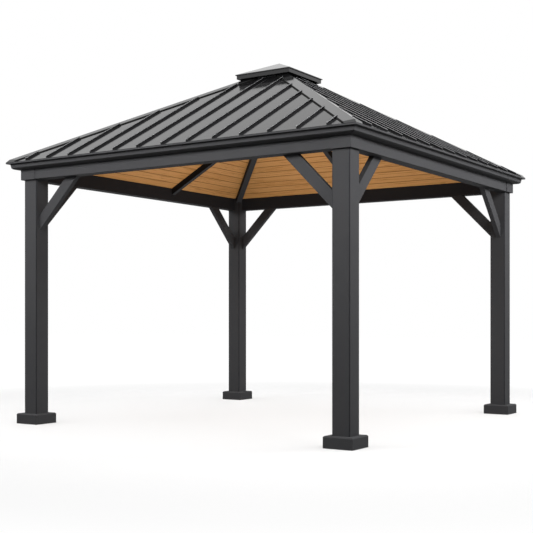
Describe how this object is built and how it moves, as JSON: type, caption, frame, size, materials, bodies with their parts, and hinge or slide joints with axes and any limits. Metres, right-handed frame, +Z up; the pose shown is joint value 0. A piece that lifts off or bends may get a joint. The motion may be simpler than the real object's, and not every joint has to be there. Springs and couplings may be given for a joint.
{
  "type": "gazebo",
  "caption": "Square hip-roof metal gazebo: posts on plinths, box beams with knee braces, crown cornice, standing-seam roof with a raised cupola, wood-look ceiling.",
  "frame": {"origin": "on the ground at the middle of the square plan", "axes": "+Z up, +X to the right and +Y to the back, square to the sides"},
  "size_m": [3.562, 3.562, 3.3631],
  "materials": {
    "frame_metal": "satin charcoal powder coat",
    "roof_metal": "satin charcoal coated steel",
    "ceiling_boards": "matt wood-grain print"
  },
  "bodies": {
    "root": {"beam_back": "frame_metal", "beam_front": "frame_metal", "beam_left": "frame_metal", "beam_right": "frame_metal", "braces_back_left": "frame_metal", "braces_back_right": "frame_metal", "braces_front_left": "frame_metal", "braces_front_right": "frame_metal", "ceiling_back": "ceiling_boards", "ceiling_front": "ceiling_boards", "ceiling_left": "ceiling_boards", "ceiling_right": "ceiling_boards", "corner_cap_back_left": "frame_metal", "corner_cap_back_right": "frame_metal", "corner_cap_front_left": "frame_metal", "corner_cap_front_right": "frame_metal", "cornice_back": "frame_metal", "cornice_front": "frame_metal", "cornice_left": "frame_metal", "cornice_right": "frame_metal", "cupola_curb": "frame_metal", "cupola_roof": "roof_metal", "cupola_skirt": "roof_metal", "hip_cap_back_left": "roof_metal", "hip_cap_back_right": "roof_metal", "hip_cap_front_left": "roof_metal", "hip_cap_front_right": "roof_metal", "hip_rafter_back_left": "frame_metal", "hip_rafter_back_right": "frame_metal", "hip_rafter_front_left": "frame_metal", "hip_rafter_front_right": "frame_metal", "mid_rafters": "frame_metal", "plinth_back_left": "frame_metal", "plinth_back_right": "frame_metal", "plinth_front_left": "frame_metal", "plinth_front_right": "frame_metal", "post_back_left": "frame_metal", "post_back_right": "frame_metal", "post_front_left": "frame_metal", "post_front_right": "frame_metal", "roof_back": "roof_metal", "roof_front": "roof_metal", "roof_left": "roof_metal", "roof_right": "roof_metal", "vent_ring": "frame_metal"}
  },
  "joints": []
}
